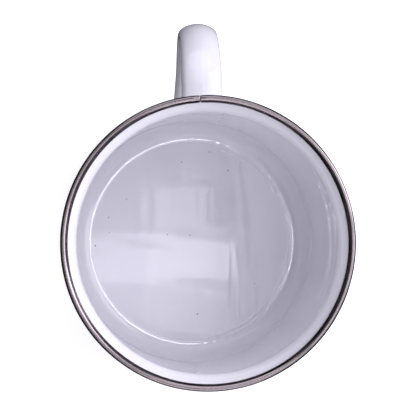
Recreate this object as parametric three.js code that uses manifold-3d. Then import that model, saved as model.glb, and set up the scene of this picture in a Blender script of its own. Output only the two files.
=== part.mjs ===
// Enamelled steel mug with a stainless-steel rim band and a rolled strip handle.
//
// Millimetres, +Z up. The origin is the centre of the flat underside, on the cup's axis, and the handle
// points along +X. The cup is a deep-drawn steel shell between two fused coats of enamel. The handle is one
// strip of steel, its long edges rolled under, spot-welded to the shell by a flat foot at each end and then
// enamelled too. The rim band is a U of stainless steel closed over the flared lip, with its butt joint
// above the handle.

import * as THREE from "three";
import { mergeVertices } from "three/addons/utils/BufferGeometryUtils.js";
import Module from "manifold-3d";

// Cup
const mugHeight = 80; // table to the top of the rim band
const cupInnerRadius = 40; // inside the straight wall
const steelThickness = 0.6;
const enamelThickness = 0.25; // each coat
const cornerRadius = 6.5; // inside surface, floor to wall
const neckRadius = 5; // inside surface, wall to flared lip
const lipAngle = THREE.MathUtils.degToRad(45); // lip, out from the vertical
const lipReach = 4; // inside wall to the middle of the lip's edge, level
const cupSegments = 48; // flats round the axis

// Rim band
const bandThickness = 0.4;
const bandClearance = 0.05; // band to lip, each side
const bandArm = 1; // how far each arm of the U runs back down the lip
const bandShoulder = 0.9; // outside radius, inner arm to the band's top
const bandCrest = 0.45; // outside radius, top to bevel and outer side to outer arm
const bandEdge = 0.2; // outside radius, bevel to outer side
const bandBevel = 0.5; // level width of the bevel between the top and the outer side
const bandBevelSlope = THREE.MathUtils.degToRad(40);
const seamGap = 0.2;
const seamAngle = THREE.MathUtils.degToRad(2.4); // round from the handle

// Handle strip
const stripThickness = 0.6;
const crownHalfWidth = 4.65; // strip's middle to where its edge starts to roll
const crownAngle = THREE.MathUtils.degToRad(16); // turned through by that half of the crown
const rollRadius = 1.66; // mid-thickness
const returnLength = 2.4; // flat stretch of strip after the roll, back under the crown
const handleProjection = 28.15; // steel wall to the strip's mid-thickness at the outermost point
const gripDrop = 20; // top arm down to the outermost point
const armLength = 4; // level stretch between the upper bend and the loop
const footBend = 3.5; // mid-thickness radius where the strip turns away from the wall
const lowerBendAngle = THREE.MathUtils.degToRad(60); // the lower arm's slope, out from the wall
const upperFootLength = 5.8;
const lowerFootLength = 8.5;
const upperFootGap = 0.4; // upper foot's tip down from the neck
const lowerFootGap = 1.9; // lower foot's tip up from the bottom corner
const footSideLength = 2.2; // flat strip beyond the crown, at a foot
const footCornerRadius = 2;
const footClearance = 0.1; // foot to steel wall
const rollStart = 1.5; // flat strip left beyond each foot before its edges start to roll
const rollOutLength = 7; // over which the flat strip becomes the rolled section

// Spot welds
const weldRadius = 1.5;
const weldOffset = 3.1; // each side of the foot's middle
const weldDepth = 0.3; // into the steel wall
const weldDimple = 0.1; // below the foot's outer face
const weldClearance = 0.1; // weld to the holes it fills
const windowMargin = 0.3; // opening in the outer coat, round each foot

// Derived from those
const wallThickness = steelThickness + 2 * enamelThickness;
const steelOuterRadius = cupInnerRadius + enamelThickness + steelThickness;
const cupOuterRadius = cupInnerRadius + wallThickness;
const cornerTop = wallThickness + cornerRadius; // height where the wall becomes straight
const bandHalfWidth = wallThickness / 2 + bandClearance + bandThickness;
const footRadius = steelOuterRadius + footClearance + stripThickness / 2; // axis to the foot's mid-thickness

// The lip's edge lies as far below the band's top as it lies in from the band's outer side.
const lipEnd = new THREE.Vector2(cupInnerRadius + lipReach, mugHeight - bandHalfWidth);
const rimRadius = lipEnd.x + bandHalfWidth;
const lipDirection = new THREE.Vector2(Math.sin(lipAngle), Math.cos(lipAngle));
const lipNormal = new THREE.Vector2(-Math.cos(lipAngle), Math.sin(lipAngle)); // towards the inside
const lipInnerEnd = lipEnd.clone().addScaledVector(lipNormal, wallThickness / 2);
const bendEndRadius = cupInnerRadius + neckRadius * (1 - Math.cos(lipAngle));
const bendEndHeight = lipInnerEnd.y - (lipInnerEnd.x - bendEndRadius) / Math.tan(lipAngle);
const neckHeight = bendEndHeight - neckRadius * Math.sin(lipAngle); // where the straight wall ends

const manifold = await Module();
manifold.setup();

function toSolid(geometry) {
  const bare = geometry.clone();
  bare.deleteAttribute("normal");
  bare.deleteAttribute("uv");
  const merged = mergeVertices(bare, 1e-4);
  return new manifold.Manifold(
    new manifold.Mesh({
      numProp: 3,
      vertProperties: merged.attributes.position.array,
      triVerts: new Uint32Array(merged.index.array),
    }),
  );
}

function toGeometry(solid) {
  const mesh = solid.getMesh();
  const geometry = new THREE.BufferGeometry();
  geometry.setAttribute("position", new THREE.BufferAttribute(mesh.vertProperties, 3));
  geometry.setIndex(new THREE.BufferAttribute(mesh.triVerts, 1));
  geometry.computeVertexNormals();
  return geometry;
}

function cut(geometry, cutters) {
  return toGeometry(cutters.reduce((left, cutter) => left.subtract(toSolid(cutter)), toSolid(geometry)));
}

// Points on an arc in the (radius, height) plane, both ends included.
function arc(centreRadius, centreHeight, radius, from, to, steps) {
  return Array.from({ length: steps + 1 }, (_, i) => {
    const angle = THREE.MathUtils.lerp(from, to, i / steps);
    const spoke = new THREE.Vector2(Math.cos(angle), Math.sin(angle)).multiplyScalar(radius);
    return spoke.add(new THREE.Vector2(centreRadius, centreHeight));
  });
}

function revolve(profile) {
  return new THREE.LatheGeometry(profile, cupSegments).rotateX(Math.PI / 2);
}

// The cup's section at a depth below its inside surface, from the axis out to the lip's edge.
function cupLine(depth) {
  const cornerCentre = cupInnerRadius - cornerRadius;
  return [
    new THREE.Vector2(0, wallThickness - depth),
    ...arc(cornerCentre, cornerTop, cornerRadius + depth, -Math.PI / 2, 0, 5),
    ...arc(cupInnerRadius + neckRadius, neckHeight, neckRadius - depth, Math.PI, Math.PI - lipAngle, 3),
    lipInnerEnd.clone().addScaledVector(lipNormal, -depth),
  ];
}

function cupLayer(innerDepth, outerDepth) {
  return revolve([...cupLine(outerDepth), ...cupLine(innerDepth).reverse()]);
}

// A path through corners, each rounded to its own radius.
function roundedPath(corners, steps) {
  return corners.flatMap(({ at, radius }, i) => {
    if (!radius) return [at];
    const back = corners[i - 1].at.clone().sub(at).normalize();
    const on = corners[i + 1].at.clone().sub(at).normalize();
    const half = back.angleTo(on) / 2;
    const centre = at.clone().addScaledVector(back.clone().add(on).normalize(), radius / Math.sin(half));
    const start = at.clone().addScaledVector(back, radius / Math.tan(half)).sub(centre).angle();
    const end = at.clone().addScaledVector(on, radius / Math.tan(half)).sub(centre).angle();
    const turn = THREE.MathUtils.euclideanModulo(end - start + Math.PI, 2 * Math.PI) - Math.PI;
    return arc(centre.x, centre.y, radius, start, start + turn, steps);
  });
}

// The band's section is a U over the lip, here at a depth below the band's outside: up its inner arm, over
// its level top, down a bevel and its upright outer side, and back down its outer arm.
function bandSide(depth) {
  const middle = lipEnd.clone().addScaledVector(lipDirection, -bandArm);
  const innerArm = middle.clone().addScaledVector(lipNormal, bandHalfWidth - depth);
  const outerArm = middle.clone().addScaledVector(lipNormal, depth - bandHalfWidth);
  const top = mugHeight - depth;
  const side = rimRadius - depth;
  const bevelStart = rimRadius - bandBevel - depth * Math.tan(bandBevelSlope / 2);
  const bevelDrop = bandBevel * Math.tan(bandBevelSlope);
  const bevelEnd = mugHeight - bevelDrop - depth * Math.tan((Math.PI / 2 - bandBevelSlope) / 2);
  const corners = [
    [innerArm.x, innerArm.y, 0],
    [innerArm.x + (top - innerArm.y) * Math.tan(lipAngle), top, bandShoulder - depth],
    [bevelStart, top, bandCrest - depth],
    [side, bevelEnd, Math.max(bandEdge - depth, 0)],
    [side, outerArm.y + (side - outerArm.x) / Math.tan(lipAngle), bandCrest - depth],
    [outerArm.x, outerArm.y, 0],
  ];
  return roundedPath(corners.map(([x, y, radius]) => ({ at: new THREE.Vector2(x, y), radius })), 3);
}

function rimBand() {
  const section = [...bandSide(0).reverse(), ...bandSide(bandThickness)];
  const reach = 4 * bandHalfWidth;
  const seam = new THREE.BoxGeometry(reach, seamGap, reach);
  seam.translate(lipEnd.x, 0, lipEnd.y).rotateZ(seamAngle);
  return cut(revolve([...section, section[0]]), [seam]);
}

// The strip's mid-thickness line in the (x, z) plane, from the upper foot's tip round the loop to the lower
// foot's.
const upperFootTip = neckHeight - upperFootGap;
const upperFootEnd = upperFootTip - upperFootLength;
const armHeight = upperFootEnd - footBend;
const loopStart = footRadius + footBend + armLength;
const outermost = steelOuterRadius + handleProjection;
const gripHeight = armHeight - gripDrop;
const lowerFootTip = cornerTop + lowerFootGap;
const lowerFootEnd = lowerFootTip + lowerFootLength;
const lowerBendEnd = new THREE.Vector2(
  footRadius + footBend * (1 - Math.cos(lowerBendAngle)),
  lowerFootEnd + footBend * Math.sin(lowerBendAngle),
);
const gripTangent = 0.55; // lower curve's pull at the grip, and at the lower bend, as
const bendTangent = 0.3; // shares of the height between the two

function handleStations() {
  const point = (x, z) => new THREE.Vector2(x, z);
  const foot = (from, to) => new THREE.LineCurve(point(footRadius, from), point(footRadius, to));
  const bend = (height, from, to) =>
    new THREE.EllipseCurve(footRadius + footBend, height, footBend, footBend, from, to, to < from);
  const pull = gripHeight - lowerBendEnd.y;
  const stretches = [
    [foot(upperFootTip, upperFootTip - footCornerRadius), 3],
    [foot(upperFootTip - footCornerRadius, upperFootEnd), 1],
    [bend(upperFootEnd, Math.PI, 1.5 * Math.PI), 4],
    [new THREE.LineCurve(point(footRadius + footBend, armHeight), point(loopStart, armHeight)), 1],
    [new THREE.EllipseCurve(loopStart, gripHeight, outermost - loopStart, gripDrop, Math.PI / 2, 0, true), 7],
    [
      new THREE.CubicBezierCurve(
        point(outermost, gripHeight),
        point(outermost, gripHeight - gripTangent * pull),
        point(
          lowerBendEnd.x + bendTangent * pull * Math.sin(lowerBendAngle),
          lowerBendEnd.y + bendTangent * pull * Math.cos(lowerBendAngle),
        ),
        lowerBendEnd,
      ),
      8,
    ],
    [bend(lowerFootEnd, Math.PI - lowerBendAngle, Math.PI), 3],
    [foot(lowerFootEnd, lowerFootTip + footCornerRadius), 1],
    [foot(lowerFootTip + footCornerRadius, lowerFootTip), 3],
  ];
  const stations = [{ at: point(footRadius, upperFootTip), heading: point(0, -1), travelled: 0 }];
  let start = 0;
  for (const [curve, steps] of stretches) {
    for (let i = 1; i <= steps; i += 1) {
      stations.push({
        at: curve.getPointAt(i / steps),
        heading: curve.getTangentAt(i / steps),
        travelled: start + (curve.getLength() * i) / steps,
      });
    }
    start += curve.getLength();
  }
  return { stations, length: start };
}

// One half of the strip's section: points across the strip with the angle it has turned through there.
// roll is 0 for a flat foot and 1 for the rolled handle; trim shortens the flat sides at a foot's corners.
// The sides lengthen more slowly than they turn, so that the strip is nowhere wider than its foot.
function halfSection(roll, trim) {
  const { lerp } = THREE.MathUtils;
  const rollLength = rollRadius * (Math.PI - crownAngle);
  const sideShare = rollLength / (rollLength + returnLength);
  const sideLength = footSideLength - trim;
  const stretches = [
    { length: crownHalfWidth, turn: crownAngle, steps: 1 },
    { length: lerp(sideLength * sideShare, rollLength, roll ** 2), turn: Math.PI - crownAngle, steps: 5 },
    { length: lerp(sideLength * (1 - sideShare), returnLength, roll ** 2), turn: 0, steps: 1 },
  ];
  const points = [{ across: 0, out: 0, turned: 0 }];
  for (const { length, turn, steps } of stretches) {
    for (let i = 0; i < steps; i += 1) {
      const last = points.at(-1);
      const middle = last.turned + (roll * turn) / steps / 2;
      points.push({
        across: last.across + (length / steps) * Math.cos(middle),
        out: last.out - (length / steps) * Math.sin(middle),
        turned: last.turned + (roll * turn) / steps,
      });
    }
  }
  return points;
}

// A layer of the handle between two distances out from the strip's mid-thickness, lofted through every
// station.
function handleLayer(innerOffset, outerOffset) {
  const { stations, length } = handleStations();
  const rows = stations.map(({ at, heading, travelled }) => {
    const upper = travelled - upperFootLength;
    const lower = length - travelled - lowerFootLength;
    const roll = THREE.MathUtils.smoothstep(Math.min(upper, lower), rollStart, rollStart + rollOutLength);
    const fromTip = Math.min(travelled, length - travelled, footCornerRadius);
    const trim = footCornerRadius - Math.sqrt(footCornerRadius ** 2 - (footCornerRadius - fromTip) ** 2);
    const half = halfSection(roll, trim);
    const onSide = (points, side) => points.map((point) => ({ ...point, side }));
    const section = [...onSide(half.slice(1).reverse(), -1), ...onSide(half, 1)];
    const outwards = new THREE.Vector2(-heading.y, heading.x);
    const place = (offset) =>
      section.map(({ across, out, turned, side }) => {
        const y = side * (across + offset * Math.sin(turned));
        const onPath = at.clone().addScaledVector(outwards, out + offset * Math.cos(turned));
        const wrapped = Math.sqrt(onPath.x ** 2 - y ** 2); // the flat foot follows the round wall
        return [THREE.MathUtils.lerp(wrapped, onPath.x, roll), y, onPath.y];
      });
    return [...place(innerOffset), ...place(outerOffset).reverse()];
  });
  return loft(rows);
}

// A closed solid through rows of points. Each row is one closed section, its second half the first half's
// partners.
function loft(rows) {
  const around = rows[0].length;
  const index = [];
  const at = (row, i) => row * around + ((i + around) % around);
  for (let row = 0; row + 1 < rows.length; row += 1) {
    for (let i = 0; i < around; i += 1) {
      // The diagonal runs the same way on both faces of the strip, so that layers share it.
      const ends = [at(row, i), at(row, i + 1), at(row + 1, i + 1), at(row + 1, i)];
      const [a, b, c, d] = i < around / 2 ? ends : [ends[1], ends[2], ends[3], ends[0]];
      index.push(a, b, c, a, c, d);
    }
  }
  for (let i = 0; i + 1 < around / 2; i += 1) {
    for (const [row, flip] of [[0, false], [rows.length - 1, true]]) {
      const [a, b, c, d] = [at(row, i), at(row, -1 - i), at(row, -2 - i), at(row, i + 1)];
      index.push(...(flip ? [a, c, b, a, d, c] : [a, b, c, a, c, d]));
    }
  }
  const geometry = new THREE.BufferGeometry();
  geometry.setAttribute("position", new THREE.Float32BufferAttribute(rows.flat(2), 3));
  geometry.setIndex(index);
  geometry.computeVertexNormals();
  return geometry;
}

// Spot welds: a round plug through each foot into the wall, lying along a radius of the cup.
const upperWeldHeight = (upperFootTip + upperFootEnd) / 2;
const lowerWeldHeight = (lowerFootTip + lowerFootEnd) / 2;
const weldPlaces = [
  { name: "spot_weld_upper_left", side: 1, height: upperWeldHeight },
  { name: "spot_weld_upper_right", side: -1, height: upperWeldHeight },
  { name: "spot_weld_lower_left", side: 1, height: lowerWeldHeight },
  { name: "spot_weld_lower_right", side: -1, height: lowerWeldHeight },
];
const weldInner = steelOuterRadius - weldDepth;
const weldOuter = footRadius + stripThickness / 2 - weldDimple;

function weldPlug({ side, height }, radius, inner, outer) {
  const plug = new THREE.CylinderGeometry(radius, radius, outer - inner, 16).rotateZ(Math.PI / 2);
  return plug.translate((inner + outer) / 2, 0, height).rotateZ(side * Math.asin(weldOffset / footRadius));
}

const weldHoles = weldPlaces.map((place) =>
  weldPlug(place, weldRadius + weldClearance, weldInner - weldClearance, weldOuter + 1),
);

// The outer coat stops round each foot, where steel lies on steel.
function footWindow(tip, end) {
  const halfWidth = crownHalfWidth + footSideLength + windowMargin;
  const bottom = Math.min(tip, end) - windowMargin;
  const top = Math.max(tip, end) + windowMargin;
  const depth = 4 * wallThickness;
  const opening = new THREE.BoxGeometry(depth, 2 * halfWidth, top - bottom);
  return opening.translate(cupOuterRadius, 0, (top + bottom) / 2);
}

const footRise = 1.6; // the bend leaves the outer coat this far beyond a foot's flat stretch
const windows = [
  footWindow(upperFootTip - windowMargin / 2, upperFootEnd - footRise),
  footWindow(lowerFootTip, lowerFootEnd + footRise),
];

const materials = {
  enamel: new THREE.MeshStandardMaterial({ color: 0xf2f2f8, roughness: 0.12, metalness: 0 }),
  sheetSteel: new THREE.MeshStandardMaterial({ color: 0x6f7276, roughness: 0.5, metalness: 0.9 }),
  stainless: new THREE.MeshStandardMaterial({ color: 0xb9b4b1, roughness: 0.22, metalness: 1 }),
  weld: new THREE.MeshStandardMaterial({ color: 0x55585c, roughness: 0.6, metalness: 0.9 }),
};

const mug = new THREE.Group();

function addPiece(name, geometry, material) {
  const mesh = new THREE.Mesh(geometry, material);
  mesh.name = name;
  mug.add(mesh);
}

const steelDepth = enamelThickness + steelThickness;
addPiece("inner_enamel", cupLayer(0, enamelThickness), materials.enamel);
addPiece("steel_cup", cut(cupLayer(enamelThickness, steelDepth), weldHoles), materials.sheetSteel);
addPiece("outer_enamel", cut(cupLayer(steelDepth, wallThickness), windows), materials.enamel);
addPiece("rim_band", rimBand(), materials.stainless);
addPiece(
  "handle_strip",
  cut(handleLayer(-stripThickness / 2, stripThickness / 2), weldHoles),
  materials.sheetSteel,
);
addPiece(
  "handle_enamel",
  handleLayer(stripThickness / 2, stripThickness / 2 + enamelThickness),
  materials.enamel,
);
for (const place of weldPlaces) {
  addPiece(place.name, weldPlug(place, weldRadius, weldInner, weldOuter), materials.weld);
}

export default mug;
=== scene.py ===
import math

import bpy
import numpy as np
from mathutils import Matrix, Vector


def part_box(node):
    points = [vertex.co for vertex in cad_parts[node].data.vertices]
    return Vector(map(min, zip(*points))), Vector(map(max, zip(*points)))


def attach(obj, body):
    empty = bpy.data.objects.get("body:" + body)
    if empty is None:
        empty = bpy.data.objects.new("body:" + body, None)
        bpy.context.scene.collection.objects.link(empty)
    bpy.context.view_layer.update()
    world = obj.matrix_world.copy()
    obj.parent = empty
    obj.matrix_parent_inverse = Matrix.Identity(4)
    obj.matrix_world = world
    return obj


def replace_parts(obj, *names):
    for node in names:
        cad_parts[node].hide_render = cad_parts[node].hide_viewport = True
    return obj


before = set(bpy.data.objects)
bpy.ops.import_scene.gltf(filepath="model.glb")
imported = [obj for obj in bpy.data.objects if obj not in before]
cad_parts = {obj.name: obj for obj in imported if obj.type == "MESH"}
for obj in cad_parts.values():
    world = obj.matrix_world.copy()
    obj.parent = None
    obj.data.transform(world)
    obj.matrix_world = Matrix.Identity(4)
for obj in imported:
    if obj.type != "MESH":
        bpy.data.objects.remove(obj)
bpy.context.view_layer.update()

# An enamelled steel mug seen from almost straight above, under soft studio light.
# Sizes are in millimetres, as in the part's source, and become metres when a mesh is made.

MM = 0.001
TAU = 2 * math.pi
random = np.random.default_rng(17)

# Cup, as in the part's source
MUG_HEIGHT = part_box("rim_band")[1].z / MM
RIM_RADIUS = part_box("rim_band")[1].y / MM
INNER_RADIUS = 40.0
STEEL = 0.6
COAT = 0.25
WALL = STEEL + 2 * COAT
CORNER_RADIUS = 6.5
NECK_RADIUS = 5.0
LIP_ANGLE = math.radians(45)
LIP_REACH = 4.0
BAND_THICKNESS = 0.4
BAND_CLEARANCE = 0.05
BAND_ARM = 1.0
BAND_SHOULDER = 0.9
BAND_CREST = 0.45
BAND_BEVEL = 0.5
BAND_BEVEL_SLOPE = math.radians(40)
BAND_EDGE = 0.2
SEAM_GAP = 0.2
SEAM_ANGLE = math.radians(2.4)
BAND_HALF_WIDTH = WALL / 2 + BAND_CLEARANCE + BAND_THICKNESS
CORNER_TOP = WALL + CORNER_RADIUS
LIP_END = np.array([INNER_RADIUS + LIP_REACH, MUG_HEIGHT - BAND_HALF_WIDTH])
LIP_ALONG = np.array([math.sin(LIP_ANGLE), math.cos(LIP_ANGLE)])
LIP_INWARD = np.array([-math.cos(LIP_ANGLE), math.sin(LIP_ANGLE)])
LIP_INNER_END = LIP_END + LIP_INWARD * WALL / 2
BEND_END_RADIUS = INNER_RADIUS + NECK_RADIUS * (1 - math.cos(LIP_ANGLE))
BEND_END_HEIGHT = LIP_INNER_END[1] - (LIP_INNER_END[0] - BEND_END_RADIUS) / math.tan(LIP_ANGLE)
NECK_HEIGHT = BEND_END_HEIGHT - NECK_RADIUS * math.sin(LIP_ANGLE)
LIP_STRAIGHT = (LIP_INNER_END[0] - BEND_END_RADIUS) / math.sin(LIP_ANGLE)

# Handle, as in the part's source
STRIP = 0.6
CROWN_HALF_WIDTH = 4.65
GRIP_SPREAD = 0.35  # the crown is wider by this each side from the grip down
CROWN_ANGLE = math.radians(16)
GRIP_CROWN_ANGLE = math.radians(34)  # the crown is rounder where it is gripped
ROLL_RADIUS = 1.66
RETURN_LENGTH = 2.4
GRIP_DROP = 20.0
ARM_LENGTH = 4.0
FOOT_BEND = 3.5
LOWER_BEND_ANGLE = math.radians(60)
UPPER_FOOT_LENGTH = 5.8
LOWER_FOOT_LENGTH = 8.5
UPPER_FOOT_GAP = 0.4
LOWER_FOOT_GAP = 1.9
FOOT_SIDE_LENGTH = 2.2
FOOT_CORNER_RADIUS = 2.0
FOOT_CLEARANCE = 0.1
ROLL_START = 1.5
ROLL_OUT_LENGTH = 7.0
GRIP_TANGENT = 0.55
BEND_TANGENT = 0.3
STEEL_OUTER_RADIUS = INNER_RADIUS + COAT + STEEL
CUP_OUTER_RADIUS = INNER_RADIUS + WALL
FOOT_RADIUS = STEEL_OUTER_RADIUS + FOOT_CLEARANCE + STRIP / 2
HANDLE_SKIN = STRIP / 2 + COAT
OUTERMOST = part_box("handle_enamel")[1].x / MM - HANDLE_SKIN
UPPER_FOOT_TIP = NECK_HEIGHT - UPPER_FOOT_GAP
UPPER_FOOT_END = UPPER_FOOT_TIP - UPPER_FOOT_LENGTH
ARM_HEIGHT = UPPER_FOOT_END - FOOT_BEND
LOOP_START = FOOT_RADIUS + FOOT_BEND + ARM_LENGTH
GRIP_HEIGHT = ARM_HEIGHT - GRIP_DROP
LOWER_FOOT_TIP = CORNER_TOP + LOWER_FOOT_GAP
LOWER_FOOT_END = LOWER_FOOT_TIP + LOWER_FOOT_LENGTH
WELD_RADIUS = 1.5
WELD_OFFSET = 3.1

# Relief of the enamel
RIDGE_RADIUS = 32.6  # the drawing die's faint ring on the floor of the cup
RIDGE_WIDTH = 0.32
RIDGE_HEIGHT = 0.02
RIDGE_MARGIN = 1.2  # the finer rows of points start this far inside the ridge
PUCKERS_ROUND = range(56, 84, 3)
PANEL_EDGE_PUCKERS = 0.013
CORNER_PUCKERS = 0.02
NECK_RIPPLES = 0.012
THREE_SAGS = 0.02
FIVE_SAGS = 0.015
STREAK_HEIGHT = 0.003
SCRATCH_HEIGHT = 0.0006
FILLET_HEIGHT = 0.42
FILLET_WIDTH = 0.75
FILLET_OVERRUN = 0.4  # a foot's fillet runs on over the start of its bend by this
BROAD_RUNS = 0.018
NARROW_RUNS = 0.01
SUNK_PANEL_DEPTH = 0.22
SUNK_PANEL_EDGE = (29.2, 31.4)
DIMPLE_DEPTH = 0.16
WRINKLES = (  # across, width, depth, start and end along the handle's coat
    (-1.1, 0.22, 0.03, 10, 30),
    (0.9, 0.3, 0.022, 14, 40),
    (-2.9, 0.35, 0.02, 9, 26),
)

# How fine the visible meshes are
CUP_SEGMENTS = 720
STEEL_SEGMENTS = 240
HANDLE_STEP = 0.4
BAND_STEP = 0.07
SEAM_STEPS = (0, 0.03, 0.07, 0.12, 0.18, 0.26, 0.4)  # from a cut end of the band


def smoothstep(value, low, high):
    share = np.clip((np.asarray(value, float) - low) / (high - low), 0, 1)
    return share * share * (3 - 2 * share)


def bell(distance, width):
    """1 at no distance, fading to nothing within about two widths."""
    return np.exp(-((distance / width) ** 2))


def between(value, start, full, leaving, end):
    """0 up to start and from end on, and 1 from full to leaving."""
    return smoothstep(value, start, full) * (1 - smoothstep(value, leaving, end))


def mix(a, b, share):
    return a + (b - a) * share


def mesh_object(name, points, faces, material, slot):
    """A piece in metres from points in millimetres. It rides on the mug's one body."""
    mesh = bpy.data.meshes.new(name)
    mesh.from_pydata((np.asarray(points, float) * MM).tolist(), [], faces)
    mesh.validate()
    mesh.polygons.foreach_set("use_smooth", [True] * len(mesh.polygons))
    mesh.materials.append(material)
    piece = bpy.data.objects.new(name, mesh)
    bpy.context.scene.collection.objects.link(piece)
    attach(piece, "root")
    return piece


def loop_faces(rows, columns):
    """Quads between rows of points, each row a closed loop."""
    r, c = np.meshgrid(np.arange(rows - 1), np.arange(columns), indexing="ij")
    here, there = r * columns, (r + 1) * columns
    next_c = (c + 1) % columns
    return np.stack([here + c, here + next_c, there + next_c, there + c], -1).reshape(-1, 4)


def loft(sections):
    """Points and faces of a closed solid through sections, with a flat cap at each end."""
    columns = len(sections[0])
    faces = loop_faces(len(sections), columns).tolist()
    faces.append(list(range(columns))[::-1])
    faces.append([(len(sections) - 1) * columns + i for i in range(columns)])
    return np.concatenate(sections), faces


def arc(centre, radius, start, end, steps):
    angle = np.linspace(start, end, steps + 1)
    return np.stack([centre[0] + radius * np.cos(angle), centre[1] + radius * np.sin(angle)], -1)


def line(start, end, steps):
    share = np.linspace(0, 1, steps + 1)[:, None]
    return mix(np.asarray(start, float), np.asarray(end, float), share)


def chain(*stretches):
    """Joins stretches of points end to end, without their doubled ends."""
    points = [stretches[0]]
    for stretch in stretches[1:]:
        doubled = np.linalg.norm(points[-1][-1] - stretch[0]) < 1e-6
        points.append(stretch[1:] if doubled else stretch)
    return np.concatenate(points)


def left_normals(path):
    """Unit normals to the left of a path of 2-D points."""
    along = np.gradient(path, axis=0)
    along /= np.linalg.norm(along, axis=1)[:, None]
    return np.stack([-along[:, 1], along[:, 0]], -1)


def resample(path, step):
    """Points at even steps along a path, and how far along it each of them is."""
    travelled = np.concatenate([[0], np.cumsum(np.linalg.norm(np.diff(path, axis=0), axis=1))])
    at = np.linspace(0, travelled[-1], round(travelled[-1] / step) + 1)
    return np.stack([np.interp(at, travelled, path[:, k]) for k in (0, 1)], -1), at


# ---------------------------------------------------------------- cup


def cup_line(depth, fine):
    """The cup's section at a depth below its inside surface, from the axis to the lip's edge."""
    corner = (INNER_RADIUS - CORNER_RADIUS, CORNER_TOP)
    neck = (INNER_RADIUS + NECK_RADIUS, NECK_HEIGHT)
    floor_height, wall_radius = WALL - depth, INNER_RADIUS + depth
    ridge_start = RIDGE_RADIUS - RIDGE_MARGIN
    lip_end = LIP_INNER_END - LIP_INWARD * depth
    return chain(
        line((0, floor_height), (ridge_start, floor_height), 90 if fine else 6),
        line((ridge_start, floor_height), (corner[0], floor_height), 28 if fine else 1),
        arc(corner, CORNER_RADIUS + depth, -math.pi / 2, 0, 48 if fine else 12),
        line((wall_radius, CORNER_TOP), (wall_radius, NECK_HEIGHT), 60 if fine else 8),
        arc(neck, NECK_RADIUS - depth, math.pi, math.pi - LIP_ANGLE, 14 if fine else 6),
        line(lip_end - LIP_ALONG * LIP_STRAIGHT, lip_end, 12 if fine else 2),
    )


def ripples(angle, counts):
    """Irregular ripples round the cup, between about -1 and 1."""
    total = 0.0
    for count in counts:
        height = random.uniform(0.4, 1)
        total = total + height * np.cos(count * angle + random.uniform(0, TAU))
    return total / math.sqrt(len(counts))


def waves(x, y, count, shortest, longest, stretch):
    """Irregular waves over a plane, longer along x, between about -1 and 1."""
    total = 0.0
    for _ in range(count):
        length = random.uniform(shortest, longest)
        lean = random.uniform(-1, 1)
        phase = random.uniform(0, TAU)
        total = total + np.sin(TAU * (x * lean / (length * stretch) + y / length) + phase)
    return total / math.sqrt(count)


def inner_relief(radius, height, angle):
    """Millimetres that the inner enamel stands off: drawing marks, sags, waves and ripples."""
    radius, height, angle = radius[:, None], height[:, None], angle[None, :]
    low = height < CORNER_TOP
    puckers = ripples(angle, PUCKERS_ROUND)
    ridge = bell(radius - RIDGE_RADIUS, RIDGE_WIDTH) * low
    corner_top = bell(height - CORNER_TOP, 2.2) * (radius > INNER_RADIUS - 1)
    neck = bell(height - NECK_HEIGHT, 1.5)
    sag = THREE_SAGS * np.cos(3 * angle + 0.7) + FIVE_SAGS * np.cos(5 * angle + 2.1)
    x, y = radius * np.cos(angle), radius * np.sin(angle)
    streaks = waves(x, y, 7, 2.5, 9, 5) + waves(y, x, 5, 6, 16, 2)
    scratches = waves(x, y, 8, 1.3, 3, 7)
    middle = smoothstep(radius, 0, 12)
    on_floor = radius < RIDGE_RADIUS + 1
    right = smoothstep(-np.sin(angle), -0.3, 0.3)
    panel_edge = bell(radius - INNER_RADIUS + CORNER_RADIUS - 0.5, 1.3) * low
    return (
        RIDGE_HEIGHT * (0.6 + 0.8 * puckers).clip(0.1) * ridge * right
        + PANEL_EDGE_PUCKERS * puckers * panel_edge * right
        + CORNER_PUCKERS * puckers * corner_top
        + NECK_RIPPLES * ripples(angle, range(9, 30, 4)) * neck
        + sag * (radius / INNER_RADIUS) ** 3
        + (STREAK_HEIGHT * streaks + SCRATCH_HEIGHT * scratches) * on_floor * (0.3 + 0.7 * middle)
    )


def outer_relief(radius, height, angle):
    """Millimetres that the outer enamel stands off: foot fillets, runs and a sunk underside."""
    radius, height, angle = radius[:, None], height[:, None], angle[None, :]
    around = CUP_OUTER_RADIUS * ((angle + math.pi) % TAU - math.pi)
    on_wall = radius > INNER_RADIUS
    half_width = CROWN_HALF_WIDTH + FOOT_SIDE_LENGTH
    past_side = np.maximum(np.abs(around) - (half_width - FOOT_CORNER_RADIUS), 0)
    upper_foot = (UPPER_FOOT_END - FILLET_OVERRUN, UPPER_FOOT_TIP)
    lower_foot = (LOWER_FOOT_TIP, LOWER_FOOT_END + FILLET_OVERRUN)
    fillet = 0.0
    for low, high in (upper_foot, lower_foot):
        middle, half_height = (low + high) / 2, (high - low) / 2
        past_end = np.maximum(np.abs(height - middle) - (half_height - FOOT_CORNER_RADIUS), 0)
        beyond = np.maximum(np.hypot(past_side, past_end) - FOOT_CORNER_RADIUS, 0)
        fillet = fillet + FILLET_HEIGHT * bell(beyond, FILLET_WIDTH) * on_wall
    broad, narrow = ripples(angle, (2, 3, 5, 7)), ripples(angle, (11, 17, 23))
    runs = BROAD_RUNS * broad + NARROW_RUNS * narrow * np.sin(height / 9)
    wall = between(height, 1, 9, NECK_HEIGHT - 3, NECK_HEIGHT)
    panel = 1 - smoothstep(radius, *SUNK_PANEL_EDGE)
    return fillet + runs * wall - SUNK_PANEL_DEPTH * panel * (height < CORNER_TOP / 2)


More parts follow.
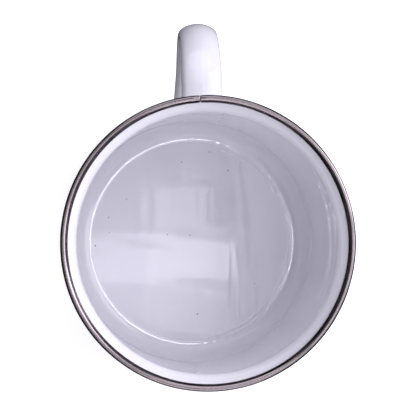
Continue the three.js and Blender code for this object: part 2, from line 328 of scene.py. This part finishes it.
def side_rows(path, relief, away, angle):
    """A side of a shell, turned round the axis: rows of points from near the axis outwards."""
    normal = left_normals(path)[1:] * away
    path = path[1:]
    offset = relief(path[:, 0], path[:, 1], angle) if relief else np.zeros((len(path), 1))
    radius = path[:, 0, None] + normal[:, 0, None] * offset
    height = path[:, 1, None] + normal[:, 1, None] * offset
    return np.stack(np.broadcast_arrays(radius * np.cos(angle), radius * np.sin(angle), height), -1)


def shell(name, depths, reliefs, material, slot, segments):
    """A layer of the cup between an inside and an outside depth, each side with its own relief."""
    angle = np.arange(segments) * TAU / segments
    inside = side_rows(cup_line(depths[0], reliefs[0] is not None), reliefs[0], 1, angle)
    outside = side_rows(cup_line(depths[1], reliefs[1] is not None), reliefs[1], -1, angle)
    body = np.concatenate([inside, outside[::-1]])
    rows = len(body)
    top = [0, 0, body[0, :, 2].mean()]
    bottom = [0, 0, body[-1, :, 2].mean()]
    faces = loop_faces(rows, segments)[:, ::-1].tolist()
    last, centre = (rows - 1) * segments, rows * segments
    faces += [[centre, i, (i + 1) % segments] for i in range(segments)]
    faces += [[centre + 1, last + (i + 1) % segments, last + i] for i in range(segments)]
    points = np.concatenate([body.reshape(-1, 3), [top, bottom]])
    return mesh_object(name, points, faces, material, slot)


# ---------------------------------------------------------------- handle


def handle_path():
    """The strip's mid-thickness line in the (x, z) plane, with its headings and distances."""
    bend_x = FOOT_RADIUS + FOOT_BEND
    bend_end = np.array(
        [
            FOOT_RADIUS + FOOT_BEND * (1 - math.cos(LOWER_BEND_ANGLE)),
            LOWER_FOOT_END + FOOT_BEND * math.sin(LOWER_BEND_ANGLE),
        ]
    )
    pull = GRIP_HEIGHT - bend_end[1]
    heading = np.array([math.sin(LOWER_BEND_ANGLE), math.cos(LOWER_BEND_ANGLE)])
    grip = np.array([OUTERMOST, GRIP_HEIGHT])
    below_grip = grip - (0, GRIP_TANGENT * pull)
    controls = (grip, below_grip, bend_end + BEND_TANGENT * pull * heading, bend_end)
    t = np.linspace(0, 1, 400)[:, None]
    weights = ((1 - t) ** 3, 3 * t * (1 - t) ** 2, 3 * t * t * (1 - t), t**3)
    quarter = np.linspace(math.pi / 2, 0, 400)
    loop_x = LOOP_START + (OUTERMOST - LOOP_START) * np.cos(quarter)
    loop_z = GRIP_HEIGHT + GRIP_DROP * np.sin(quarter)
    path = chain(
        line((FOOT_RADIUS, UPPER_FOOT_TIP), (FOOT_RADIUS, UPPER_FOOT_END), 100),
        arc((bend_x, UPPER_FOOT_END), FOOT_BEND, math.pi, 1.5 * math.pi, 100),
        line((bend_x, ARM_HEIGHT), (LOOP_START, ARM_HEIGHT), 60),
        np.stack([loop_x, loop_z], -1),
        sum(weight * control for weight, control in zip(weights, controls)),
        arc((bend_x, LOWER_FOOT_END), FOOT_BEND, math.pi - LOWER_BEND_ANGLE, math.pi, 80),
        line((FOOT_RADIUS, LOWER_FOOT_END), (FOOT_RADIUS, LOWER_FOOT_TIP), 120),
    )
    return eased_path(path, HANDLE_STEP)


def eased_path(path, step):
    """A path at even steps with its bends eased, its headings and the distances along it."""
    points, travelled = resample(path, step)
    kernel = bell(np.arange(-4, 5), 2)
    kernel /= kernel.sum()
    points[4:-4] = np.stack([np.convolve(points[:, k], kernel, "valid") for k in (0, 1)], -1)
    heading = np.gradient(points, axis=0)
    heading /= np.linalg.norm(heading, axis=1)[:, None]
    return points, heading, travelled


def half_section(roll, trim, crown, spread):
    """Half of the strip's section, from the middle: across, out and the angle turned."""
    roll_length = ROLL_RADIUS * (math.pi - CROWN_ANGLE)
    share = roll_length / (roll_length + RETURN_LENGTH)
    side = FOOT_SIDE_LENGTH - trim
    crown_angle = mix(CROWN_ANGLE, GRIP_CROWN_ANGLE, crown)
    crown_part = CROWN_HALF_WIDTH + GRIP_SPREAD * spread * roll
    roll_part = mix(side * share, roll_length, roll**2)
    return_part = mix(side * (1 - share), RETURN_LENGTH, roll**2)
    lengths = (crown_part, roll_part, return_part)
    turns = (crown_angle * roll, (math.pi - crown_angle) * roll, 0)
    counts = (14, 26, 8)
    step = np.concatenate([np.full(n, length / n) for n, length in zip(counts, lengths)])
    turn = np.concatenate([np.full(n, angle / n) for n, angle in zip(counts, turns)])
    turn = np.convolve(np.pad(turn, 3, mode="edge"), np.ones(7) / 7, "valid")
    turned = np.cumsum(turn)
    middle = turned - turn / 2
    across = np.concatenate([[0], np.cumsum(step * np.cos(middle))])
    out = np.concatenate([[0], np.cumsum(-step * np.sin(middle))])
    return across, out, np.concatenate([[0], turned])


def no_relief(travelled, across, length):
    return 0.0


def coat_relief(travelled, across, length):
    """Millimetres that the handle's coat stands off: wrinkles, and a dimple over each weld."""
    drift = 0.4 * np.sin(travelled / 9)
    total = 0.0
    for place, width, depth, start, end in WRINKLES:
        fade = between(travelled, start, start + 4, end - 5, end)
        total = total - depth * fade * bell(across - place - drift, width)
    for middle in (UPPER_FOOT_LENGTH / 2, length - LOWER_FOOT_LENGTH / 2):
        for side in (-1, 1):
            away = np.hypot(travelled - middle, across - side * WELD_OFFSET)
            total = total - DIMPLE_DEPTH * np.exp(-((away / (0.75 * WELD_RADIUS)) ** 4))
    return total


def strip_solid(name, half_thickness, relief, material, slot):
    """The strip as a closed solid with round edges and round ends."""
    points, heading, travelled = handle_path()

    def end_row(k, way, turn):
        at = points[k] + way * heading[k] * half_thickness * math.sin(turn)
        return at, heading[k], travelled[k], max(math.cos(turn), 0.03)

    end_turns = np.linspace(math.pi / 2, 0, 6)[:-1]
    rows = [end_row(0, -1, turn) for turn in end_turns]
    rows += zip(points, heading, travelled, np.ones(len(points)))
    rows += [end_row(-1, 1, turn) for turn in end_turns[::-1]]
    sections = [strip_row(row, travelled[-1], half_thickness, relief) for row in rows]
    points, faces = loft(sections)
    return mesh_object(name, points, [face[::-1] for face in faces], material, slot)


def strip_row(row, length, half_thickness, relief):
    """One closed section: the outer side, a round edge, the inner side and the other edge."""
    at, heading, travelled, thin = row
    rest = min(travelled - UPPER_FOOT_LENGTH, length - travelled - LOWER_FOOT_LENGTH)
    roll = smoothstep(rest, ROLL_START, ROLL_START + ROLL_OUT_LENGTH)
    from_corner = FOOT_CORNER_RADIUS - min(travelled, length - travelled, FOOT_CORNER_RADIUS)
    trim = FOOT_CORNER_RADIUS - math.sqrt(max(FOOT_CORNER_RADIUS**2 - from_corner**2, 0))
    crown = between(travelled, 18, 40, length - 30, length - 14)
    spread = between(travelled, 22, 44, length - 18, length - 9)
    both = zip(half_section(roll, trim, crown, spread), (-1, 1, -1))
    across, out, turned = (np.concatenate([half[:0:-1] * sign, half]) for half, sign in both)
    skin = half_thickness * thin
    edge = np.linspace(0, math.pi, 9)[1:-1]
    raised = skin + relief(travelled, across, length) * (turned**2 < 1)
    outer = stand_off(across, out, turned, raised)
    inner = stand_off(across, out, turned, -skin)
    right = round_edge(across[-1], out[-1], turned[-1], skin, edge, 1)
    left = round_edge(across[0], out[0], turned[0], skin, edge, -1)
    section = np.concatenate([outer, right, inner[::-1], left[::-1]])
    outwards = np.array([-heading[1], heading[0]])
    on_path = at + outwards * section[:, 1, None]
    y = section[:, 0]
    wrapped = np.sqrt(np.maximum(on_path[:, 0] ** 2 - y**2, 1))
    return np.stack([mix(wrapped, on_path[:, 0], roll), y, on_path[:, 1]], -1)


def stand_off(across, out, turned, offset):
    return np.stack([across + offset * np.sin(turned), out + offset * np.cos(turned)], -1)


def round_edge(across, out, turned, skin, edge, side):
    """A half-round edge from the outer side to the inner side, past the strip's end."""
    along = np.array([math.cos(turned), -math.sin(turned)]) * side
    outward = np.array([math.sin(turned), math.cos(turned)])
    sine, cosine = np.sin(edge)[:, None], np.cos(edge)[:, None]
    return np.array([across, out]) + skin * (sine * along + cosine * outward)


# ---------------------------------------------------------------- rim band


def rounded_path(corners, steps):
    """A path through corners, each rounded to its own radius."""
    path = []
    for i, (at, radius) in enumerate(corners):
        at = np.asarray(at, float)
        if not radius:
            path.append([at])
            continue
        back, on = (np.asarray(corners[k][0], float) - at for k in (i - 1, i + 1))
        back, on = back / np.linalg.norm(back), on / np.linalg.norm(on)
        half = math.acos(np.dot(back, on)) / 2
        centre = at + (back + on) / np.linalg.norm(back + on) * radius / math.sin(half)
        start, end = (at + way * radius / math.tan(half) - centre for way in (back, on))
        start, end = math.atan2(start[1], start[0]), math.atan2(end[1], end[0])
        turn = (end - start + math.pi) % TAU - math.pi
        path.append(arc(centre, radius, start, start + turn, steps))
    return np.concatenate(path)


def band_side(depth):
    """The band's section at a depth below its outside, from the inner arm to the outer one."""
    middle = LIP_END - LIP_ALONG * (BAND_ARM - BAND_THICKNESS / 2)
    inner_arm = middle + LIP_INWARD * (BAND_HALF_WIDTH - depth)
    outer_arm = middle - LIP_INWARD * (BAND_HALF_WIDTH - depth)
    top, side = MUG_HEIGHT - depth, RIM_RADIUS - depth
    bevel_start = RIM_RADIUS - BAND_BEVEL - depth * math.tan(BAND_BEVEL_SLOPE / 2)
    steep = math.pi / 2 - BAND_BEVEL_SLOPE
    bevel_drop = BAND_BEVEL * math.tan(BAND_BEVEL_SLOPE) + depth * math.tan(steep / 2)
    corners = (
        (inner_arm, 0),
        ((inner_arm[0] + (top - inner_arm[1]) * math.tan(LIP_ANGLE), top), BAND_SHOULDER - depth),
        ((bevel_start, top), BAND_CREST - depth),
        ((side, MUG_HEIGHT - bevel_drop), max(BAND_EDGE - depth, 0)),
        ((side, outer_arm[1] + (side - outer_arm[0]) / math.tan(LIP_ANGLE)), BAND_CREST - depth),
        (outer_arm, 0),
    )
    return rounded_path(corners, 12)


def arm_end(outer_point, inner_point, along):
    """The half-round free edge of an arm, from its outside to its inside."""
    middle, across = (outer_point + inner_point) / 2, (outer_point - inner_point) / 2
    reach = along * np.linalg.norm(across)
    turn = np.linspace(0, math.pi, 8)[1:-1, None]
    return middle + across * np.cos(turn) + reach * np.sin(turn)


def rim_band(material):
    """The band, bent round the rim from one side of its seam to the other, a little worn."""
    outside = resample(band_side(0), BAND_STEP)[0]
    inside = band_side(BAND_THICKNESS)[::-1]
    high = arm_end(inside[-1], outside[0], -LIP_ALONG)
    low = arm_end(outside[-1], inside[0], -LIP_ALONG)
    section = np.concatenate([outside, low, inside, high])
    inwards = -left_normals(outside)
    fade = np.sin(np.linspace(0, math.pi, len(outside))) ** 0.5
    gap = SEAM_GAP / RIM_RADIUS
    ends = np.array(SEAM_STEPS) / RIM_RADIUS
    middle = np.linspace(ends[-1], TAU - gap - ends[-1], CUP_SEGMENTS)
    angle = np.concatenate([ends[:-1], middle, TAU - gap - ends[-2::-1]])
    from_seam = np.minimum(angle, angle[-1] - angle) * RIM_RADIUS
    worn = 0.012 * (1 + ripples(angle, (4, 9, 15, 22, 31))).clip(0)
    pressed = 0.1 * bell(from_seam, 1.1)
    softened = 0.1 * (1 - np.sqrt(1 - (1 - np.minimum(from_seam / 0.18, 1)) ** 2))
    sections = []
    for a, sink in zip(angle + SEAM_ANGLE + gap / 2, worn + pressed + softened):
        plane = section.copy()
        plane[: len(outside)] += inwards * sink * fade[:, None]
        radius, height = plane[:, 0], plane[:, 1]
        sections.append(np.stack([radius * math.cos(a), radius * math.sin(a), height], -1))
    return mesh_object("rim_band_fine", *loft(sections), material, "stainless")


# ---------------------------------------------------------------- materials


def new_material(name):
    material = bpy.data.materials.new(name)
    material.use_nodes = True
    nodes = material.node_tree.nodes
    return material, nodes, material.node_tree.links, nodes["Principled BSDF"]


def noise(nodes, links, vector, scale, detail=2.0):
    texture = nodes.new("ShaderNodeTexNoise")
    texture.inputs["Scale"].default_value = scale
    texture.inputs["Detail"].default_value = detail
    links.new(vector, texture.inputs["Vector"])
    return texture.outputs["Fac"]


def spread(nodes, links, value, low, high, to_low, to_high):
    """A value between low and high, spread smoothly over another range."""
    step = nodes.new("ShaderNodeMapRange")
    step.interpolation_type = "SMOOTHSTEP"
    numbers = {"From Min": low, "From Max": high, "To Min": to_low, "To Max": to_high}
    for name, number in numbers.items():
        step.inputs[name].default_value = number
    links.new(value, step.inputs["Value"])
    return step.outputs["Result"]


def blend(nodes, links, share, first, second):
    """Two colours mixed by a share. Either may be a colour or another node's output."""
    node = nodes.new("ShaderNodeMix")
    node.data_type = "RGBA"
    links.new(share, node.inputs["Factor"])
    colours = [socket for socket in node.inputs if socket.name in "AB" and socket.type == "RGBA"]
    for socket, colour in zip(colours, (first, second)):
        if isinstance(colour, tuple):
            socket.default_value = (*colour, 1)
        else:
            links.new(colour, socket)
    return next(socket for socket in node.outputs if socket.type == "RGBA")


def add_bump(nodes, links, shader, height, distance, strength):
    bump = nodes.new("ShaderNodeBump")
    bump.inputs["Distance"].default_value = distance * MM
    bump.inputs["Strength"].default_value = strength
    links.new(height, bump.inputs["Height"])
    previous = shader.inputs["Normal"].links
    if previous:
        links.new(previous[0].from_socket, bump.inputs["Normal"])
    links.new(bump.outputs["Normal"], shader.inputs["Normal"])


def spot_share(nodes, links, vector, spots):
    """1 at each spot and 0 away from it. A spot is x, y, z and radius in millimetres."""
    total = None
    for x, y, z, radius in spots:
        away = nodes.new("ShaderNodeVectorMath")
        away.operation = "DISTANCE"
        away.inputs[1].default_value = (x * MM, y * MM, z * MM)
        links.new(vector, away.inputs[0])
        core, rim = 0.6 * radius * MM, 1.2 * radius * MM
        share = spread(nodes, links, away.outputs["Value"], core, rim, 1, 0)
        if total is None:
            total = share
            continue
        largest = nodes.new("ShaderNodeMath")
        largest.operation = "MAXIMUM"
        links.new(total, largest.inputs[0])
        links.new(share, largest.inputs[1])
        total = largest.outputs["Value"]
    return total


def enamel_material(name, colour, specks, pin_marks):
    """White enamel: glassy, faintly cloudy and dimpled, with dark specks and grey pin marks."""
    material, nodes, links, shader = new_material(name)
    shader.inputs["IOR"].default_value = 1.54
    place = nodes.new("ShaderNodeTexCoord").outputs["Object"]
    cloud = noise(nodes, links, place, 55, 3)
    body = blend(nodes, links, cloud, tuple(0.955 * c for c in colour), colour)
    speck_share = spot_share(nodes, links, place, specks)
    pin_share = spot_share(nodes, links, place, pin_marks)
    speckled = blend(nodes, links, speck_share, body, (0.05, 0.045, 0.05))
    marked = blend(nodes, links, pin_share, speckled, (0.2, 0.2, 0.22))
    links.new(marked, shader.inputs["Base Color"])
    links.new(spread(nodes, links, cloud, 0.3, 0.7, 0.025, 0.055), shader.inputs["Roughness"])
    add_bump(nodes, links, shader, noise(nodes, links, place, 260), 0.03, 0.12)
    return material


def stainless_material():
    """Rolled stainless steel: fine lines run round the band, with a few darker smears."""
    material, nodes, links, shader = new_material("stainless")
    shader.inputs["Metallic"].default_value = 1
    place = nodes.new("ShaderNodeTexCoord").outputs["Object"]
    apart = nodes.new("ShaderNodeSeparateXYZ")
    links.new(place, apart.inputs["Vector"])
    level = nodes.new("ShaderNodeVectorMath")
    level.operation = "MULTIPLY"
    level.inputs[1].default_value = (1, 1, 0)
    links.new(place, level.inputs[0])
    radius = nodes.new("ShaderNodeVectorMath")
    radius.operation = "LENGTH"
    links.new(level.outputs["Vector"], radius.inputs[0])
    across = nodes.new("ShaderNodeCombineXYZ")
    links.new(radius.outputs["Value"], across.inputs["X"])
    links.new(apart.outputs["Z"], across.inputs["Y"])
    lines = noise(nodes, links, across.outputs["Vector"], 5200, 3)
    smears = noise(nodes, links, place, 120, 4)
    metal = blend(nodes, links, lines, (0.22, 0.185, 0.19), (0.38, 0.335, 0.335))
    dullness = spread(nodes, links, smears, 0.5, 0.75, 0, 0.5)
    dulled = blend(nodes, links, dullness, metal, (0.18, 0.158, 0.155))
    links.new(dulled, shader.inputs["Base Color"])
    links.new(spread(nodes, links, smears, 0.3, 0.7, 0.13, 0.22), shader.inputs["Roughness"])
    add_bump(nodes, links, shader, lines, 0.01, 0.35)
    return material


def steel_material(name, dark, light, roughness):
    """Bare low-carbon steel, mottled by the scale of firing."""
    material, nodes, links, shader = new_material(name)
    shader.inputs["Metallic"].default_value = 1
    place = nodes.new("ShaderNodeTexCoord").outputs["Object"]
    scale = noise(nodes, links, place, 180, 5)
    links.new(blend(nodes, links, scale, dark, light), shader.inputs["Base Color"])
    dullness = spread(nodes, links, scale, 0.3, 0.7, roughness, roughness + 0.18)
    links.new(dullness, shader.inputs["Roughness"])
    add_bump(nodes, links, shader, noise(nodes, links, place, 900, 4), 0.03, 0.3)
    return material


# ---------------------------------------------------------------- build

FLOOR_SPECKS = (  # x, y, radius
    (-0.8, 32.4, 0.26),
    (26.8, 2.9, 0.2),
    (30.0, -6.5, 0.17),
    (23.7, -12.6, 0.22),
    (-24.4, -1.5, 0.24),
    (14.6, 21.7, 0.17),
    (8.6, 27.8, 0.2),
    (3.5, 27.6, 0.15),
    (2.5, 8.2, 0.17),
    (2.2, 0.5, 0.17),
    (-14.5, -21.0, 0.14),
)
WALL_SPECKS = (  # x, y, z, radius
    (7.0, -39.4, 54.0, 0.24),
    (-17.0, 36.2, 61.0, 0.2),
    (-41.0, -3.0, 33.0, 0.2),
    (12.0, 39.3, 22.0, 0.25),
)
PIN_CIRCLE = 32.4  # the kiln's three pins hold the underside on this radius
PIN_HEIGHT = 0.1
PIN_RADIUS = 0.55
PIN_ANGLES = (0.6, 2.7, 4.8)

specks = [(x, y, WALL, radius) for x, y, radius in FLOOR_SPECKS] + list(WALL_SPECKS)
pin_marks = [
    (PIN_CIRCLE * math.cos(turn), PIN_CIRCLE * math.sin(turn), PIN_HEIGHT, PIN_RADIUS)
    for turn in PIN_ANGLES
]
enamel = enamel_material("enamel", (0.865, 0.858, 0.895), specks, pin_marks)
stainless = stainless_material()
sheet_steel = steel_material("sheet_steel", (0.2, 0.21, 0.225), (0.36, 0.365, 0.38), 0.42)
weld_steel = steel_material("weld", (0.1, 0.1, 0.11), (0.24, 0.235, 0.235), 0.5)


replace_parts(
    shell("inner_coat", (0, COAT), (inner_relief, None), enamel, "enamel", CUP_SEGMENTS),
    "inner_enamel",
)
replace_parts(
    shell(
        "steel_shell", (COAT, COAT + STEEL), (None, None), sheet_steel, "sheet_steel", STEEL_SEGMENTS
    ),
    "steel_cup",
)
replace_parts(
    shell("outer_coat", (COAT + STEEL, WALL), (None, outer_relief), enamel, "enamel", CUP_SEGMENTS),
    "outer_enamel",
)
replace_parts(rim_band(stainless), "rim_band")
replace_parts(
    strip_solid("handle_core", STRIP / 2, no_relief, sheet_steel, "sheet_steel"), "handle_strip"
)
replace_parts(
    strip_solid("handle_coat", HANDLE_SKIN, coat_relief, enamel, "enamel"), "handle_enamel"
)
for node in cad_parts.values():
    if node.name.startswith("spot_weld"):
        node.data.materials.clear()
        node.data.materials.append(weld_steel)

# ---------------------------------------------------------------- studio

# Metres from here on
CAMERA_SPOT = (0.0063, 0.0516, 0.787)
CAMERA_AIM = (0.0107, 0, (MUG_HEIGHT - 1) * MM)
CAMERA_ROLL = math.radians(-1)
CAMERA_LENS = 202.6
SENSOR_WIDTH = 36
LAMP_TINT = (0.91, 0.896, 1.0)
LAMP_AIM = (0, 0, 0.05)
# name, azimuth from the right of the view towards its top, tilt from straight up, distance,
# sides and watts
SOFTBOXES = (
    ("key", 15, 42, 1.3, (0.9, 0.9), 8.2),
    ("side", 20, 64, 1.3, (0.9, 0.5), 6.4),
    ("top", 90, 52, 1.3, (1.1, 0.8), 4.9),
    ("bottom", 270, 52, 1.3, (1.1, 0.8), 6.1),
    ("overhead_top", 90, 24, 1.4, (0.7, 0.6), 1.3),
    ("overhead_bottom", 270, 20, 1.4, (0.5, 0.5), 1.2),
    ("overhead_right", 0, 16, 1.4, (0.5, 0.5), 1.1),
)
# The panes of a bright window that the floor of the cup mirrors: x, y, sides and radiance
PANES = (
    (-0.022, -0.064, (0.0665, 0.035), 5.2),
    (-0.059, -0.064, (0.0665, 0.039), 2.0),
    (-0.022, -0.0075, (0.047, 0.035), 3.2),
    (-0.057, -0.014, (0.034, 0.035), 1.0),
    (0.017, -0.056, (0.045, 0.037), 2.6),
    (0.014, -0.0645, (0.0154, 0.031), 2.6),
    (0.038, -0.0665, (0.009, 0.017), 2.4),
    (0.058, -0.0645, (0.003, 0.022), 2.4),
    (0.043, -0.034, (0.005, 0.026), 1.4),
    (0.046, -0.093, (0.004, 0.03), 0.9),
)
PANE_HEIGHT = 1.0
# Two arcs of a ring lamp: radius, first and last azimuth, lamps, each lamp's width and its watts
RING_ARCS = ((0.27, -80, 72, 9, 0.1, 0.45), (0.1, 138, 222, 7, 0.03, 0.1))
RING_HEIGHT = 1.25
BOUNCE_HEIGHT = 0.0004  # over the sheet, and under the inside of the cup
BOUNCE_SIDE = 1.6
BOUNCE_RADIANCE = 0.5
SHEET_REACH = 3.0
SHEET_DROP = 0.00005  # keeps the sheet clear of the mug's foot


def look_along(direction, up):
    """A rotation whose -Z axis is direction and whose Y axis leans to up."""
    back = -Vector(direction).normalized()
    right = Vector(up).cross(back).normalized()
    return Matrix((right, back.cross(right), back)).transposed()


def add_camera():
    data = bpy.data.cameras.new("camera")
    data.lens = CAMERA_LENS
    data.sensor_width = SENSOR_WIDTH
    camera = bpy.data.objects.new("camera", data)
    bpy.context.scene.collection.objects.link(camera)
    up = (math.cos(CAMERA_ROLL), math.sin(CAMERA_ROLL), 0)
    camera.matrix_world = look_along(np.subtract(CAMERA_AIM, CAMERA_SPOT), up).to_4x4()
    camera.location = CAMERA_SPOT
    bpy.context.scene.camera = camera


def softbox(name, place, aim, size, power, shape="RECTANGLE"):
    data = bpy.data.lights.new(name, "AREA")
    data.shape = shape
    data.size, data.size_y = size
    data.energy = power
    data.color = LAMP_TINT
    lamp = bpy.data.objects.new(name, data)
    bpy.context.scene.collection.objects.link(lamp)
    lamp.matrix_world = look_along(np.subtract(aim, place), (1, 0, 0.001)).to_4x4()
    lamp.location = place
    return lamp


def studio_lamp(name, azimuth, tilt, distance, size, power):
    """A softbox aimed at the mug. The right of the view is -Y and its top is +X."""
    a, t = math.radians(azimuth), math.radians(tilt)
    away = np.array([math.sin(a) * math.sin(t), -math.cos(a) * math.sin(t), math.cos(t)])
    return softbox(name, LAMP_AIM + distance * away, LAMP_AIM, size, power)


def ring_lamp(receiver):
    """The ring lamp that stands round the camera. It only glints, and only in one piece."""
    lit = bpy.data.collections.new("lit_by_ring_lamp")
    lit.objects.link(receiver)
    for number, (radius, first, last, count, width, power) in enumerate(RING_ARCS):
        for k, azimuth in enumerate(np.radians(np.linspace(first, last, count))):
            place = (radius * math.sin(azimuth), -radius * math.cos(azimuth), RING_HEIGHT)
            name = f"ring_lamp_{number}_{k}"
            lamp = softbox(name, place, (0, 0, 0), (width, width), power, "DISK")
            lamp.visible_diffuse = False
            lamp.light_linking.receiver_collection = lit


def window_panes():
    for k, (x, y, size, radiance) in enumerate(PANES):
        power = radiance * math.pi * size[0] * size[1]
        pane = softbox(f"pane_{k}", (x, y, PANE_HEIGHT), (x, y, 0), size, power)
        pane.visible_diffuse = False


def bounce_lamp():
    """The light that the white sheet throws up on the mug, dimmer than the sheet looks."""
    power = BOUNCE_RADIANCE * math.pi * BOUNCE_SIDE**2
    sides = (BOUNCE_SIDE, BOUNCE_SIDE)
    lamp = softbox("bounce", (0, 0, BOUNCE_HEIGHT), (0, 0, 1), sides, power)
    lamp.visible_camera = False
    lamp.visible_glossy = False


def add_world():
    """A pale dome, dark near the horizon and dimmer on the +Y side."""
    world = bpy.data.worlds.new("studio")
    world.use_nodes = True
    nodes, links = world.node_tree.nodes, world.node_tree.links
    background = nodes["Background"]
    apart = nodes.new("ShaderNodeSeparateXYZ")
    links.new(nodes.new("ShaderNodeTexCoord").outputs["Generated"], apart.inputs["Vector"])
    height = spread(nodes, links, apart.outputs["Z"], 0.08, 0.6, 0.05, 1)
    side = spread(nodes, links, apart.outputs["Y"], -0.3, 0.8, 0.42, 0.12)
    strength = nodes.new("ShaderNodeMath")
    strength.operation = "MULTIPLY"
    links.new(height, strength.inputs[0])
    links.new(side, strength.inputs[1])
    background.inputs["Color"].default_value = (0.84, 0.825, 0.93, 1)
    links.new(strength.outputs["Value"], background.inputs["Strength"])
    bpy.context.scene.world = world


def add_floor():
    """The white sheet that the mug stands on."""
    material, _, _, shader = new_material("floor")
    shader.inputs["Base Color"].default_value = (0.92, 0.92, 0.93, 1)
    shader.inputs["Roughness"].default_value = 0.9
    shader.inputs["Emission Color"].default_value = (1, 1, 1, 1)
    shader.inputs["Emission Strength"].default_value = 0.5
    mesh = bpy.data.meshes.new("floor")
    turns = ((-1, -1), (1, -1), (1, 1), (-1, 1))
    corners = [(x * SHEET_REACH, y * SHEET_REACH, -SHEET_DROP) for x, y in turns]
    mesh.from_pydata(corners, [], [(0, 1, 2, 3)])
    mesh.materials.append(material)
    floor = bpy.data.objects.new("floor", mesh)
    bpy.context.scene.collection.objects.link(floor)
    floor.visible_glossy = False  # the white sheet isn't mirrored in the mug
    floor.visible_diffuse = False  # the bounce lamp stands in for its light


add_camera()
add_world()
add_floor()
for lamp in SOFTBOXES:
    studio_lamp(*lamp)
ring_lamp(bpy.data.objects["inner_coat"])
window_panes()
bounce_lamp()
bpy.context.scene.view_settings.view_transform = "Standard"
